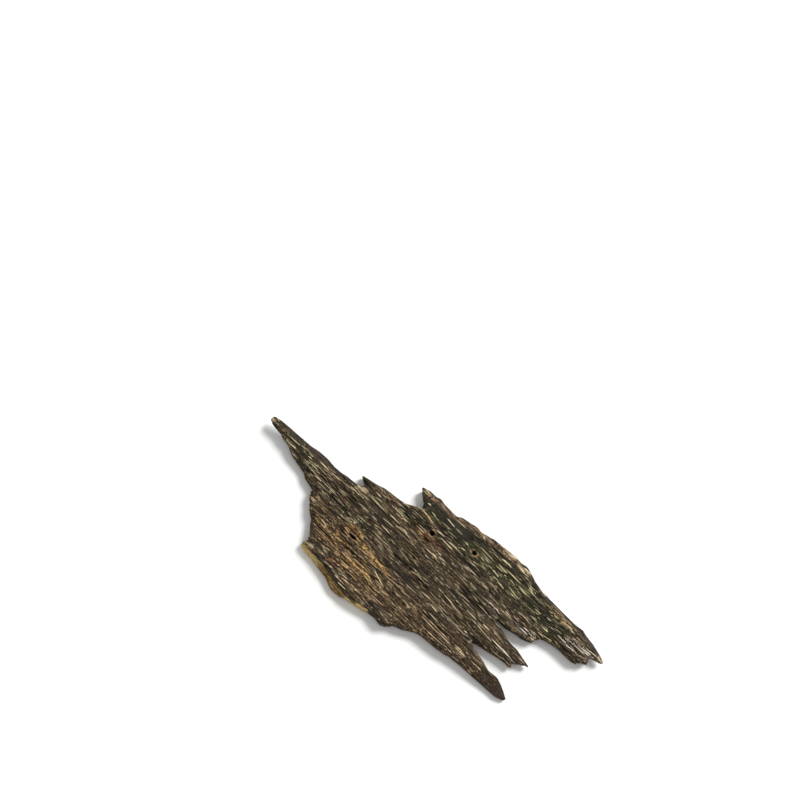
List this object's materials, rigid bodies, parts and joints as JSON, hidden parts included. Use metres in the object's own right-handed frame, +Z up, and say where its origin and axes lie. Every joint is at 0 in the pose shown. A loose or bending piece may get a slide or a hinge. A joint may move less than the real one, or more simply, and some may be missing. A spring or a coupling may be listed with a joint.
{
  "type": "agarwood piece",
  "caption": "Flat dark chip of resinous agarwood, split along the grain, with a long spike, splintered lobes and small insect bores, lying on its flat underside.",
  "frame": {"origin": "under the middle of the piece's box, on the surface it lies on", "axes": "+X along the grain from the long spike to the splintered lobes, +Y across the grain, +Z up out of the upper face"},
  "size_m": [0.12, 0.045, 0.0041],
  "materials": {
    "resinous_wood": "bare split wood, dark brown-black with pale fibres, dull with a slight sheen"
  },
  "bodies": {
    "root": {"agarwood_piece": "resinous_wood"}
  },
  "joints": []
}
